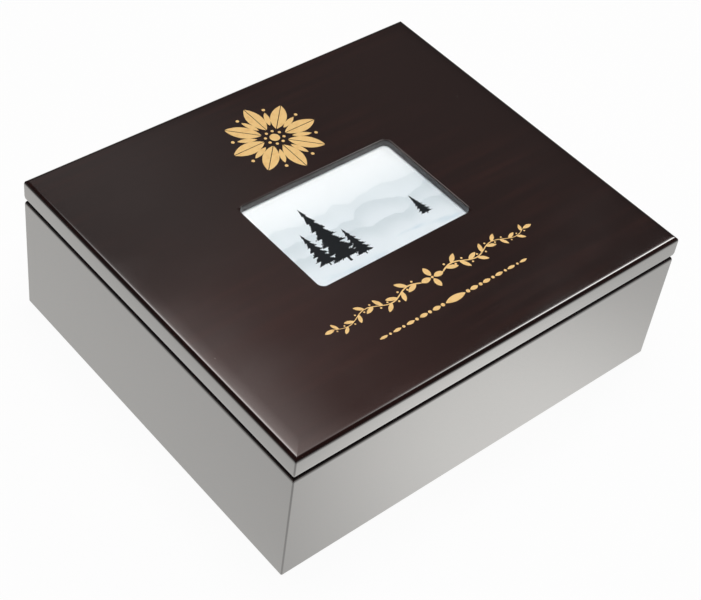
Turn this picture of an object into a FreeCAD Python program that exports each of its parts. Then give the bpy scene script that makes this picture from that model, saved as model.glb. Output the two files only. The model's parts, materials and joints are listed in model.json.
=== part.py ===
"""A lacquered keepsake box with a picture window in its hinged lid.

Frame: millimetres, +Z up, +X to the right along the front, the front faces -Y.
The origin is the middle of the underside, on the surface that the box stands on.
"""
import FreeCAD, Part
import math
import os

from FreeCAD import Vector

# Outside of the box
box_length = 312.0
box_depth = 270.0
base_height = 91.1
lid_thickness = 16.0
seam_gap = 0.6
upright_radius = 1.2
base_foot_radius = 2.0
base_rim_radius = 3.5
lid_low_radius = 1.7
lid_top_radius = 2.4

# Base carcass
wall_thickness = 12.0
bottom_thickness = 5.0
bottom_rabbet = 6.0
bottom_clearance = 0.2
felt_thickness = 0.8
felt_inset = 5.0

# Velvet covered boards inside the base
lining_thickness = 2.0
lining_below_rim = 3.0
lining_edge_radius = 0.8
lining_clearance = 0.2

# Bumper dots that keep the lacquered edges apart
bumper_radius = 3.0
bumper_from_end = 38.0
bumper_air = 0.05

# Lid: a panel with a window on a mitred frame of rails
panel_thickness = 4.7
rail_width = 12.0
window_length = 122.5
window_depth = 82.6
window_corner_radius = 4.5
window_edge_radius = 0.8

# Picture stack under the window
glass_thickness = 2.0
print_thickness = 0.3
print_end_cover = 2.25
print_side_cover = 3.2
backing_thickness = 4.8
stack_overlap = 6.0
stack_clearance = 0.5

# Butt hinges let into the back edges
hinge_length = 45.0
hinge_from_end = 62.0
hinge_leaf_width = 10.0
hinge_leaf_thickness = 1.3
hinge_barrel_radius = 2.4
hinge_pin_radius = 1.2
hinge_pin_clearance = 0.05
hinge_knuckles = 5
hinge_knuckle_gap = 0.3
mortise_clearance = 0.15
barrel_relief = 0.35
lid_opening = 95.0

# Countersunk screws of the hinges
hinge_screw_length = 8.0
hinge_screw_radius = 1.25
hinge_screw_head_radius = 2.4
hinge_screw_from_end = 9.0
hinge_screw_from_edge = 3.6

# Round head screws of the stay bracket and the turn buttons
round_screw_radius = 1.25
round_screw_head_radius = 2.4
round_screw_crown_radius = 1.7
round_screw_head_height = 1.3

# Every small screw and its pilot hole have a few facets in place of a round
screw_facets = 12
pilot_clearance = 0.05

# Turn buttons that hold the picture in
button_thickness = 1.2
button_root_radius = 4.5
button_tip_radius = 3.0
button_from_stack = 7.0
button_overlap = 7.0
button_spacing = 74.0
button_play = 0.1
button_screw_length = 5.6

# Slotted lid stay on the right hand side
stay_thickness = 1.6
stay_half_width = 4.5
stay_stud_radius = 2.0
stay_slot_play = 0.2
stay_lead_angle = 16.0
stay_floor_clearance = 5.0
stay_lid_clearance = 2.0
stay_side_gap = 1.2
stay_layer_gap = 0.3
stud_head_radius = 3.8
stud_head_thickness = 1.2
stud_washer_thickness = 0.6
stud_screw_length = 8.0
rivet_radius = 1.5
rivet_head_radius = 2.6
rivet_head_thickness = 0.6
bracket_thickness = 1.6
bracket_flange_length = 13.0
bracket_half_width = 9.0
bracket_screw_from_end = 4.0
bracket_screw_length = 10.2

# Levels and faces that follow from the sizes above
felt_top = felt_thickness
rim_z = felt_top + base_height
axis_z = rim_z + seam_gap / 2
lid_bottom = rim_z + seam_gap
lid_top = lid_bottom + lid_thickness
panel_bottom = lid_top - panel_thickness
glass_bottom = panel_bottom - glass_thickness
print_bottom = glass_bottom - print_thickness
stack_bottom = print_bottom - backing_thickness
floor_z = felt_top + bottom_thickness
lining_floor_z = floor_z + lining_thickness
lining_top_z = rim_z - lining_below_rim
axis_y = box_depth / 2
inner_length = box_length - 2 * wall_thickness
inner_depth = box_depth - 2 * wall_thickness
print_length = window_length + 2 * print_end_cover
print_depth = window_depth + 2 * print_side_cover
stack_length = window_length + 2 * stack_overlap
stack_depth = window_depth + 2 * stack_overlap
hinge_centres = {"left": hinge_from_end - box_length / 2, "right": box_length / 2 - hinge_from_end}

# The stay's pin and stud lie on one circle round the hinge, so the arm turns at half the lid's rate
stay_drop = stay_half_width + stay_lid_clearance - (stack_bottom - axis_z)
stay_end = stay_stud_radius + stay_slot_play + stay_half_width
stay_room = axis_z - lining_floor_z - stay_floor_clearance - stay_drop - stay_end
stay_radius = stay_room / (2 * math.sin(math.radians(stay_lead_angle + lid_opening) / 2))
stay_pin_angle = math.asin(stay_drop / stay_radius)
stay_stud_angle = stay_pin_angle + math.radians(stay_lead_angle)
stay_lean = (stay_pin_angle + stay_stud_angle) / 2
stay_chord_closed = 2 * stay_radius * math.sin(math.radians(stay_lead_angle) / 2)
stay_chord_open = 2 * stay_radius * math.sin(math.radians(stay_lead_angle + lid_opening) / 2)
stay_outer_x = inner_length / 2 - lining_thickness - stay_side_gap
stay_inner_x = stay_outer_x - stay_thickness
bracket_outer_x = stay_inner_x - stay_layer_gap
bracket_inner_x = bracket_outer_x - bracket_thickness

X_AXIS = Vector(1, 0, 0)
Y_AXIS = Vector(0, 1, 0)
Z_AXIS = Vector(0, 0, 1)
TOLERANCE = 1e-6
SPARE = 1.0


def block(x_low, x_high, y_low, y_high, z_low, z_high):
    """A plain box between two corners."""
    corner = Vector(x_low, y_low, z_low)
    return Part.makeBox(x_high - x_low, y_high - y_low, z_high - z_low, corner)


def slab(length, depth, z_low, z_high):
    """A plain box centred on the Z axis."""
    return block(-length / 2, length / 2, -depth / 2, depth / 2, z_low, z_high)


def rod(radius, start, direction, length):
    """A round bar from a point along a direction."""
    return Part.makeCylinder(radius, length, start, direction)


def round_edges(shape, direction, radius, chosen):
    """Round the straight edges along a direction whose middle passes a test."""
    edges = []
    for edge in shape.Edges:
        straight = isinstance(edge.Curve, Part.Line)
        if straight and edge.tangentAt(edge.FirstParameter).cross(direction).Length < TOLERANCE:
            if chosen(edge.CenterOfMass):
                edges.append(edge)
    return shape.makeFillet(radius, edges)


def rounded_prism(length, depth, z_low, z_high, radius):
    """An upright prism with rounded corners, centred on the Z axis."""
    return round_edges(slab(length, depth, z_low, z_high), Z_AXIS, radius, lambda point: True)


def eased_envelope(length, depth, z_low, z_high, low_radius, high_radius):
    """A slab with rounded low and high edges that meet in mitres, and eased uprights."""
    shape = rounded_prism(length, depth, z_low, z_high, upright_radius)
    for direction in (X_AXIS, Y_AXIS):
        bar = slab(length, depth, z_low, z_high)
        bar = round_edges(bar, direction, low_radius, lambda point: point.z < z_low + TOLERANCE)
        bar = round_edges(bar, direction, high_radius, lambda point: point.z > z_high - TOLERANCE)
        shape = shape.common(bar)
    return shape


def mitre_wedges(length, depth, width, z_low, z_high):
    """The four prisms, by side, that a mitred frame of this width divides into."""
    half_length = length / 2 + SPARE
    half_depth = depth / 2 + SPARE
    inset = width + SPARE
    wedges = {}
    for side, sign in (("front", -1), ("back", 1)):
        inner_y = sign * (half_depth - inset)
        corners = [(-half_length, sign * half_depth), (half_length, sign * half_depth)]
        corners += [(half_length - inset, inner_y), (inset - half_length, inner_y)]
        wedges[side] = upright_polygon(corners, z_low, z_high)
    for side, sign in (("left", -1), ("right", 1)):
        inner_x = sign * (half_length - inset)
        corners = [(sign * half_length, -half_depth), (sign * half_length, half_depth)]
        corners += [(inner_x, half_depth - inset), (inner_x, inset - half_depth)]
        wedges[side] = upright_polygon(corners, z_low, z_high)
    return wedges


def upright_polygon(corners, z_low, z_high):
    """A prism on a polygon of X and Y corners."""
    points = [Vector(x, y, z_low) for x, y in corners]
    face = Part.Face(Part.makePolygon(points + points[:1]))
    return face.extrude(Vector(0, 0, z_high - z_low))


def tapered_tab(length, root_radius, tip_radius, thickness):
    """A flat tab along +X with a round root at the origin and a round tip, standing on Z = 0."""
    cosine = (root_radius - tip_radius) / length
    sine = math.sqrt(1 - cosine ** 2)
    root_high = Vector(root_radius * cosine, root_radius * sine, 0)
    root_low = Vector(root_radius * cosine, -root_radius * sine, 0)
    tip_high = Vector(length + tip_radius * cosine, tip_radius * sine, 0)
    tip_low = Vector(length + tip_radius * cosine, -tip_radius * sine, 0)
    outline = [
        Part.Arc(root_high, Vector(-root_radius, 0, 0), root_low).toShape(),
        Part.LineSegment(root_low, tip_low).toShape(),
        Part.Arc(tip_low, Vector(length + tip_radius, 0, 0), tip_high).toShape(),
        Part.LineSegment(tip_high, root_high).toShape(),
    ]
    return Part.Face(Part.Wire(outline)).extrude(Vector(0, 0, thickness))


def faceted_bar(low_radius, high_radius, z_low, z_high):
    """A straight or tapered bar up the Z axis with a screw's facets."""
    turns = [2 * math.pi * index / screw_facets for index in range(screw_facets)]
    low = [Vector(low_radius * math.cos(turn), low_radius * math.sin(turn), z_low) for turn in turns]
    high = [Vector(high_radius * math.cos(turn), high_radius * math.sin(turn), z_high) for turn in turns]
    outlines = [low, high]
    for index in range(screw_facets):
        outlines.append([low[index - 1], low[index], high[index], high[index - 1]])
    faces = [Part.Face(Part.makePolygon(corners + corners[:1])) for corners in outlines]
    return Part.makeSolid(Part.makeShell(faces))


def countersunk_screw():
    """A countersunk screw that points down, with its head flush with Z = 0."""
    head_depth = hinge_screw_head_radius - hinge_screw_radius
    head = faceted_bar(hinge_screw_radius, hinge_screw_head_radius, -head_depth, 0)
    shank = faceted_bar(hinge_screw_radius, hinge_screw_radius, -hinge_screw_length, -head_depth)
    return head.fuse(shank).removeSplitter()


def countersunk_hole():
    """The hole for a countersunk screw that points down from Z = 0."""
    radius = hinge_screw_radius + pilot_clearance
    head_radius = hinge_screw_head_radius + pilot_clearance
    sink = faceted_bar(radius, head_radius, radius - head_radius, 0)
    bore = faceted_bar(radius, radius, -hinge_screw_length, SPARE)
    return sink.fuse(bore)


def round_head_screw(length):
    """A round head screw that points down, with the seat of its head at Z = 0."""
    head = faceted_bar(round_screw_head_radius, round_screw_crown_radius, 0, round_screw_head_height)
    shank = faceted_bar(round_screw_radius, round_screw_radius, -length, 0)
    return head.fuse(shank).removeSplitter()


def round_screw_hole(length):
    """The hole for a round head screw that points down from Z = 0."""
    radius = round_screw_radius + pilot_clearance
    return faceted_bar(radius, radius, -length, SPARE)


def placed(shape, point, upside_down=False):
    """A copy moved from the origin to a point, turned over first if asked."""
    copy = shape.copy()
    if upside_down:
        copy.rotate(Vector(0, 0, 0), X_AXIS, 180)
    copy.translate(point)
    return copy


def lying(shape, point):
    """A copy laid from +Z over to +X and moved from the origin to a point."""
    copy = shape.copy()
    copy.rotate(Vector(0, 0, 0), Y_AXIS, 90)
    copy.translate(point)
    return copy


def on_circle(angle):
    """The Y and Z of a point on the stay's circle, by its angle below the closed lid."""
    return axis_y - stay_radius * math.cos(angle), axis_z - stay_radius * math.sin(angle)


def hinge_screw_places(centre):
    """X and Y of one leaf's screws."""
    screw_y = axis_y - hinge_leaf_width + hinge_screw_from_edge
    reach = hinge_length / 2 - hinge_screw_from_end
    return [(centre - reach, screw_y), (centre + reach, screw_y)]


def hinge_leaf(centre, upper):
    """A hinge leaf with its share of the knuckles: the lower one on the base, the upper on the lid."""
    sign = 1 if upper else -1
    levels = sorted((axis_z + sign * seam_gap / 2, axis_z + sign * (seam_gap / 2 + hinge_leaf_thickness)))
    plate_back = axis_y - hinge_barrel_radius - hinge_knuckle_gap
    start = centre - hinge_length / 2
    leaf = block(start, start + hinge_length, axis_y - hinge_leaf_width, plate_back, *levels)
    pitch = hinge_length / hinge_knuckles
    for index in range(hinge_knuckles):
        if index % 2 == (1 if upper else 0):
            low = start + index * pitch + (hinge_knuckle_gap / 2 if index > 0 else 0)
            high = start + (index + 1) * pitch - (hinge_knuckle_gap / 2 if index < hinge_knuckles - 1 else 0)
            barrel = rod(hinge_barrel_radius, Vector(low, axis_y, axis_z), X_AXIS, high - low)
            web = block(low, high, plate_back, axis_y, *levels)
            leaf = leaf.fuse(barrel).fuse(web)
    bore_radius = hinge_pin_radius + hinge_pin_clearance
    bore_start = Vector(start - SPARE, axis_y, axis_z)
    leaf = leaf.cut(rod(bore_radius, bore_start, X_AXIS, hinge_length + 2 * SPARE))
    seat_z = axis_z + sign * seam_gap / 2
    for x, y in hinge_screw_places(centre):
        leaf = leaf.cut(placed(countersunk_hole(), Vector(x, y, seat_z), upside_down=upper))
    return leaf.removeSplitter()


def hinge_screws(upper):
    """All the screws of one row of hinge leaves."""
    seat_z = axis_z + (seam_gap / 2 if upper else -seam_gap / 2)
    places = [place for centre in hinge_centres.values() for place in hinge_screw_places(centre)]
    screws = [placed(countersunk_screw(), Vector(x, y, seat_z), upside_down=upper) for x, y in places]
    return Part.makeCompound(screws)


def hinge_mortises(upper):
    """What the back edge loses to the leaves, the barrels and the screws of one row."""
    sign = 1 if upper else -1
    levels = sorted((axis_z, axis_z + sign * (seam_gap / 2 + hinge_leaf_thickness)))
    seat_z = axis_z + sign * seam_gap / 2
    half_length = hinge_length / 2 + mortise_clearance
    cuts = []
    for centre in hinge_centres.values():
        front = axis_y - hinge_leaf_width - mortise_clearance
        pocket = block(centre - half_length, centre + half_length, front, axis_y + SPARE, *levels)
        barrel = rod(hinge_barrel_radius + barrel_relief, Vector(centre - half_length, axis_y, axis_z),
                     X_AXIS, 2 * half_length)
        cuts += [pocket, barrel]
        cuts += [placed(countersunk_hole(), Vector(x, y, seat_z), upside_down=upper)
                 for x, y in hinge_screw_places(centre)]
    return cuts


def base_walls():
    """The four mitred walls, rabbeted for the bottom and mortised for the hinges and the stay's stud."""
    shell = eased_envelope(box_length, box_depth, felt_top, rim_z, base_foot_radius, base_rim_radius)
    rabbet_width = wall_thickness - bottom_rabbet
    rabbet = slab(box_length - 2 * rabbet_width, box_depth - 2 * rabbet_width, felt_top - SPARE, floor_z)
    wedges = mitre_wedges(box_length, box_depth, wall_thickness, felt_top - SPARE, rim_z + SPARE)
    walls = {side: shell.common(wedge).cut(rabbet) for side, wedge in wedges.items()}
    walls["back"] = walls["back"].cut(hinge_mortises(upper=False))
    walls["right"] = walls["right"].cut(stud_hole())
    return walls


def lining_boards():
    """The four wall boards: front and back run the full length, the sides fit between them."""
    edge = lining_edge_radius
    half_length = inner_length / 2
    half_depth = inner_depth / 2
    end_y = half_depth - lining_thickness - lining_clearance
    boards = {}
    for side, sign in (("front", -1), ("back", 1)):
        faces = sorted((sign * half_depth, sign * (half_depth - lining_thickness)))
        board = block(lining_clearance - half_length, half_length - lining_clearance, *faces,
                      lining_floor_z, lining_top_z)
        inner_y = sign * (half_depth - lining_thickness)
        boards[side] = round_edges(board, X_AXIS, edge, lambda point: is_at(point.z, lining_top_z)
                                   and is_at(point.y, inner_y))
    for side, sign in (("left", -1), ("right", 1)):
        faces = sorted((sign * half_length, sign * (half_length - lining_thickness)))
        board = block(*faces, -end_y, end_y, lining_floor_z, lining_top_z)
        inner_x = sign * (half_length - lining_thickness)
        boards[side] = round_edges(board, Y_AXIS, edge, lambda point: is_at(point.z, lining_top_z)
                                   and is_at(point.x, inner_x))
    boards["right"] = boards["right"].cut(stud_hole())
    return boards


def is_at(value, target):
    """Whether a coordinate is at a place."""
    return abs(value - target) < TOLERANCE


def bumpers():
    """Two dots on the flat of the front rim that the lid comes down on."""
    rim_middle = (base_rim_radius + wall_thickness) / 2
    dot_y = rim_middle - box_depth / 2
    dots = []
    for sign in (-1, 1):
        dot_x = sign * (box_length / 2 - bumper_from_end)
        dots.append(rod(bumper_radius, Vector(dot_x, dot_y, rim_z), Z_AXIS, seam_gap - bumper_air))
    return Part.makeCompound(dots)


def lid_boards():
    """The lid's panel with its window, and the four mitred rails under it."""
    shell = eased_envelope(box_length, box_depth, lid_bottom, lid_top, lid_low_radius, lid_top_radius)
    panel = shell.common(slab(box_length + SPARE, box_depth + SPARE, panel_bottom, lid_top + SPARE))
    window = rounded_prism(window_length, window_depth, panel_bottom - SPARE, lid_top + SPARE,
                           window_corner_radius)
    panel = panel.cut(window)
    half_window = Vector(window_length / 2, window_depth / 2, 0)
    rim = [edge for edge in panel.Edges if is_at(edge.BoundBox.ZMin, lid_top)
           and abs(edge.CenterOfMass.x) < half_window.x + TOLERANCE
           and abs(edge.CenterOfMass.y) < half_window.y + TOLERANCE]
    panel = panel.makeFillet(window_edge_radius, rim).cut(bracket_screw_holes())
    wedges = mitre_wedges(box_length, box_depth, rail_width, lid_bottom - SPARE, panel_bottom)
    rails = {side: shell.common(wedge) for side, wedge in wedges.items()}
    rails["back"] = rails["back"].cut(hinge_mortises(upper=True))
    return panel, rails


def lid_lining():
    """The velvet covered board inside the rails, cut out round the picture stack."""
    length = box_length - 2 * rail_width - 2 * lining_clearance
    depth = box_depth - 2 * rail_width - 2 * lining_clearance
    board = slab(length, depth, stack_bottom, panel_bottom)
    cut_length = stack_length + 2 * stack_clearance
    cut_depth = stack_depth + 2 * stack_clearance
    board = board.cut(slab(cut_length, cut_depth, stack_bottom - SPARE, panel_bottom + SPARE))
    holes = [placed(round_screw_hole(button_screw_length), button_seat(x, y), upside_down=True)
             for x, y in button_pivots().values()]
    return board.cut(holes + bracket_screw_holes())


def button_pivots():
    """X and Y of the turn buttons' screws, two along each long side of the picture."""
    pivot_y = stack_depth / 2 + stack_clearance + button_from_stack
    pivots = {}
    for row, row_sign in (("front", -1), ("back", 1)):
        for column, column_sign in (("left", -1), ("right", 1)):
            pivots[row + "_" + column] = (column_sign * button_spacing / 2, row_sign * pivot_y)
    return pivots


def button_seat(x, y):
    """The seat of a turn button's screw head, under the button."""
    return Vector(x, y, stack_bottom - button_thickness - 2 * button_play)


def turn_button(pivot):
    """A tapered brass tab on its screw that reaches in under the picture's backing."""
    x, y = pivot
    reach = button_from_stack + stack_clearance + button_overlap - button_tip_radius
    tab = tapered_tab(reach, button_root_radius, button_tip_radius, button_thickness)
    hole_radius = round_screw_radius + pilot_clearance
    tab = tab.cut(rod(hole_radius, Vector(0, 0, -SPARE), Z_AXIS, button_thickness + 2 * SPARE))
    tab.rotate(Vector(0, 0, 0), Z_AXIS, 90 if y < 0 else -90)
    tab.translate(Vector(x, y, stack_bottom - button_play - button_thickness))
    return tab


def stay_pieces():
    """The slotted arm, its stud on the base, and the bracket and rivet on the lid."""
    pin_y, pin_z = on_circle(stay_pin_angle)
    stud_y, stud_z = on_circle(stay_stud_angle)
    slot_half_width = stay_stud_radius + stay_slot_play
    arm = tapered_tab(stay_chord_open + slot_half_width, stay_half_width, stay_half_width, stay_thickness)
    slot = tapered_tab(stay_chord_open - stay_chord_closed, slot_half_width, slot_half_width,
                       stay_thickness + 2 * SPARE)
    slot.translate(Vector(stay_chord_closed, 0, -SPARE))
    pin_hole = rod(rivet_radius + pilot_clearance, Vector(0, 0, -SPARE), Z_AXIS, stay_thickness + 2 * SPARE)
    arm = arm.cut([slot, pin_hole])
    along = Vector(0, math.sin(stay_lean), -math.cos(stay_lean))
    across = X_AXIS.cross(along)
    hung = FreeCAD.Matrix(along, across, X_AXIS, Vector(stay_inner_x, pin_y, pin_z))
    arm.Placement = FreeCAD.Placement(hung)

    lining_x = inner_length / 2 - lining_thickness
    head_x = stay_inner_x - stay_layer_gap - stud_head_thickness
    stud = rod(stud_head_radius, Vector(head_x, stud_y, stud_z), X_AXIS, stud_head_thickness)
    stud = stud.fuse(rod(stay_stud_radius, Vector(head_x, stud_y, stud_z), X_AXIS, lining_x - head_x))
    stud = stud.fuse(rod(stud_head_radius, Vector(lining_x - stud_washer_thickness, stud_y, stud_z), X_AXIS,
                         stud_washer_thickness))
    screw = faceted_bar(round_screw_radius, round_screw_radius, 0, stud_screw_length)
    stud = stud.fuse(lying(screw, Vector(lining_x, stud_y, stud_z))).removeSplitter()

    plate = block(bracket_inner_x, bracket_outer_x, pin_y - stay_half_width, pin_y + stay_half_width,
                  pin_z, stack_bottom)
    eye = rod(stay_half_width, Vector(bracket_inner_x, pin_y, pin_z), X_AXIS, bracket_thickness)
    flange = block(bracket_outer_x - bracket_flange_length, bracket_outer_x, pin_y - bracket_half_width,
                   pin_y + bracket_half_width, stack_bottom - bracket_thickness, stack_bottom)
    bracket = plate.fuse(eye).fuse(flange).removeSplitter()
    bracket = bracket.cut(rod(rivet_radius + pilot_clearance, Vector(bracket_inner_x - SPARE, pin_y, pin_z),
                              X_AXIS, bracket_thickness + 2 * SPARE))
    bracket = bracket.cut(bracket_screw_holes())

    inner_head_x = bracket_inner_x - rivet_head_thickness
    outer_head_x = stay_outer_x + pilot_clearance
    rivet = rod(rivet_radius, Vector(inner_head_x, pin_y, pin_z), X_AXIS, outer_head_x - inner_head_x)
    for start in (inner_head_x, outer_head_x):
        head = rod(rivet_head_radius, Vector(start, pin_y, pin_z), X_AXIS, rivet_head_thickness)
        rivet = rivet.fuse(head)
    return arm, stud, bracket, rivet.removeSplitter()


def stud_hole():
    """The pilot hole for the stay's stud through the right lining and into the right wall."""
    stud_y, stud_z = on_circle(stay_stud_angle)
    radius = round_screw_radius + pilot_clearance
    hole = faceted_bar(radius, radius, -SPARE, stud_screw_length)
    return lying(hole, Vector(inner_length / 2 - lining_thickness, stud_y, stud_z))


def bracket_screw_places():
    """X and Y of the stay bracket's two screws."""
    pin_y = on_circle(stay_pin_angle)[0]
    screw_x = bracket_outer_x - bracket_flange_length + bracket_screw_from_end
    reach = bracket_half_width - bracket_screw_from_end
    return [(screw_x, pin_y - reach), (screw_x, pin_y + reach)]


def bracket_seat(x, y):
    """The seat of a bracket screw's head, under the flange."""
    return Vector(x, y, stack_bottom - bracket_thickness)


def bracket_screw_holes():
    """The holes for the bracket's screws, through its flange and up into the lid."""
    hole = round_screw_hole(bracket_screw_length)
    return [placed(hole, bracket_seat(x, y), upside_down=True) for x, y in bracket_screw_places()]


def save(node, shape):
    """Write one node, which has to hold valid solids."""
    if not shape.Solids or not shape.isValid():
        raise ValueError("no valid solid in " + node)
    shape.exportStep("parts/" + node + ".step")


def build():
    """Make every piece of the box and write it under its own name."""
    os.makedirs("parts", exist_ok=True)

    for side, wall in base_walls().items():
        save("base_" + side + "_wall", wall)
    bottom_reach = 2 * (wall_thickness - bottom_rabbet + bottom_clearance)
    save("bottom_panel", slab(box_length - bottom_reach, box_depth - bottom_reach, felt_top, floor_z))
    felt_reach = 2 * felt_inset
    save("underside_felt", rounded_prism(box_length - felt_reach, box_depth - felt_reach, 0, felt_top,
                                         felt_inset))
    floor_length = inner_length - 2 * lining_clearance
    floor_depth = inner_depth - 2 * lining_clearance
    save("floor_lining", slab(floor_length, floor_depth, floor_z, lining_floor_z))
    for side, board in lining_boards().items():
        save(side + "_lining", board)
    save("rim_bumpers", bumpers())

    panel, rails = lid_boards()
    save("lid_panel", panel)
    for side, rail in rails.items():
        save("lid_" + side + "_rail", rail)
    save("picture_glass", slab(stack_length, stack_depth, glass_bottom, panel_bottom))
    save("picture_print", slab(print_length, print_depth, print_bottom, glass_bottom))
    save("picture_backing", slab(stack_length, stack_depth, stack_bottom, print_bottom))
    save("lid_lining", lid_lining())

    for name, centre in hinge_centres.items():
        save(name + "_hinge_base_leaf", hinge_leaf(centre, upper=False))
        save(name + "_hinge_lid_leaf", hinge_leaf(centre, upper=True))
        pin_start = Vector(centre - hinge_length / 2, axis_y, axis_z)
        save(name + "_hinge_pin", rod(hinge_pin_radius, pin_start, X_AXIS, hinge_length))
    save("hinge_base_screws", hinge_screws(upper=False))
    save("hinge_lid_screws", hinge_screws(upper=True))

    for place, pivot in button_pivots().items():
        save("turn_button_" + place, turn_button(pivot))
    button_screws = [placed(round_head_screw(button_screw_length), button_seat(x, y), upside_down=True)
                     for x, y in button_pivots().values()]
    save("turn_button_screws", Part.makeCompound(button_screws))

    arm, stud, bracket, rivet = stay_pieces()
    save("stay_arm", arm)
    save("stay_stud", stud)
    save("stay_bracket", bracket)
    save("stay_rivet", rivet)
    bracket_screws = [placed(round_head_screw(bracket_screw_length), bracket_seat(x, y), upside_down=True)
                      for x, y in bracket_screw_places()]
    save("stay_bracket_screws", Part.makeCompound(bracket_screws))

    pin_y, pin_z = on_circle(stay_pin_angle)
    print("hinge axis y", round(axis_y, 4), "z", round(axis_z, 4))
    print("stay pin x", round(stay_inner_x, 4), "y", round(pin_y, 4), "z", round(pin_z, 4))


build()
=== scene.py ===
"""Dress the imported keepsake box: lacquered boards, gilding, a glazed print, velvet and brass.

Everything is in metres in the part's own frame: +Z up, the front faces -Y, and the origin is the middle of
the underside.
"""
import json
import math

import bmesh
import bpy
from bpy.props import FloatProperty, FloatVectorProperty, PointerProperty
from mathutils import Matrix, Quaternion, Vector


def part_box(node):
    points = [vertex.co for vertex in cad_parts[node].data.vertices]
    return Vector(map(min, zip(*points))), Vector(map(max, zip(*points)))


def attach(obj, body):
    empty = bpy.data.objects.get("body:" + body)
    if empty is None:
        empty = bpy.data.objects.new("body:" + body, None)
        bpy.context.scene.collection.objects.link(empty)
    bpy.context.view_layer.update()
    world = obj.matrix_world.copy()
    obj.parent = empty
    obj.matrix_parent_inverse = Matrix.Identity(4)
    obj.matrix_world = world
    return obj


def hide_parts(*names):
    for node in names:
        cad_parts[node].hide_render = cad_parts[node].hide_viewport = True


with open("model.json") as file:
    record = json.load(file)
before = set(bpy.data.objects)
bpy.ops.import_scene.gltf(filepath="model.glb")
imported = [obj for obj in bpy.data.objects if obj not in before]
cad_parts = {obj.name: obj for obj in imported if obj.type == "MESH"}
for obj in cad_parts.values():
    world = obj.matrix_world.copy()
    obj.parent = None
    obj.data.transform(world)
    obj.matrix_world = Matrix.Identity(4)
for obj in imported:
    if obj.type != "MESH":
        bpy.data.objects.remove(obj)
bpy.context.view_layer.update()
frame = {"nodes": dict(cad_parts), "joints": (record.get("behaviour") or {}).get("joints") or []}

bl_info = {
    "name": "Keepsake Box Dressing",
    "version": (1, 0, 0),
    "blender": (4, 5, 0),
    "location": "3D View > Sidebar > Keepsake Box",
    "description": "Gives the packed keepsake box its lacquer, gilding, picture, linings and brass",
    "category": "Object",
}

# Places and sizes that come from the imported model
MM = 0.001
PANEL_LOW, PANEL_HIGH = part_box("lid_panel")
RAIL_LOW, RAIL_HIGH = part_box("lid_right_rail")
WALL_LOW, WALL_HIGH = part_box("base_right_wall")
BOTTOM_LOW, BOTTOM_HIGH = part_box("bottom_panel")
HALF_LENGTH = PANEL_HIGH.x
HALF_DEPTH = PANEL_HIGH.y
WALL_WIDTH = WALL_HIGH.x - WALL_LOW.x
RAIL_WIDTH = RAIL_HIGH.x - RAIL_LOW.x
HINGE_AXIS = Vector(next(joint for joint in frame["joints"] if joint["name"] == "lid_hinge")["pos_m"])
HANDS = ("left", "right")
SIDES = {
    "front": Vector((0, -1, 0)),
    "back": Vector((0, 1, 0)),
    "left": Vector((-1, 0, 0)),
    "right": Vector((1, 0, 0)),
}

# How finely the meshes are made
CORNER_STEPS = 6
ROUND_STEPS = 8
PILLOW_STEPS = 8
SPIN_STEPS = 32
LEAF_STEPS = 32
STEM_STEPS = 72
LEAST_ROUND = 0.2 * MM
WELD = 0.001 * MM
FLAT_ANGLE = math.radians(1)
HARD_ANGLE = math.radians(35)

# How far a cutter stands out of what it cuts
SPARE = 1.0 * MM
# How far stems and berries lie below the leaves, as a share of the gold's thickness
UNDER_LEAVES = 0.15
BLACK = (0.0, 0.0, 0.0)
WHITE = (1.0, 1.0, 1.0)


def length(name, description, millimetres):
    """A length that the user can change, given in millimetres."""
    return FloatProperty(name=name, description=description, default=millimetres * MM, unit="LENGTH")


def colour(name, description, default):
    """A colour that the user can change."""
    return FloatVectorProperty(name=name, description=description, default=default, subtype="COLOR",
                               min=0, max=1)


def place(name, description, default):
    """A point that the user can change, in metres."""
    return FloatVectorProperty(name=name, description=description, default=default, subtype="TRANSLATION")


class LacquerSettings(bpy.types.PropertyGroup):
    """The boards' lacquer and the rounds on their edges."""

    stain: colour("Stain", "Dark stain under the lacquer", (0.0115, 0.0039, 0.0033))
    figure: colour("Figure", "Redder streaks in the stain", (0.026, 0.0080, 0.0062))
    dust: colour("Dust", "Specks that lie on the lid", (0.22, 0.20, 0.19))
    foot_round: length("Foot round", "Round on the base's lower edge", 2.0)
    rim_round: length("Rim round", "Round on the base's upper edge", 3.5)
    lid_low_round: length("Lid low round", "Round on the lid's lower edge", 1.7)
    lid_low_taper: length("Lid low taper", "How far the lid's sides draw in just above the low round", 0.3)
    taper_rise: length("Taper rise", "Height over which the lid's sides draw in", 1.6)
    lid_top_round: length("Lid top round", "Round on the lid's upper edge", 3.0)
    pillow_width: length("Pillow width", "Width of the lid's margin that falls to its upper edge", 9.0)
    pillow_drop: length("Pillow drop", "How far the lid's margin falls", 0.12)
    upright_round: length("Upright round", "Round on the upright corners", 1.2)
    bottom_gap: length("Bottom gap", "Gap round the bottom panel in its rabbet", 0.2)
    window_length: length("Window length", "Opening over the picture, left to right", 122.5)
    window_depth: length("Window depth", "Opening over the picture, front to back", 82.6)
    window_corner: length("Window corner", "Corner radius of the window", 4.5)
    window_round: length("Window round", "Round on the window's upper edge", 0.8)


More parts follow.
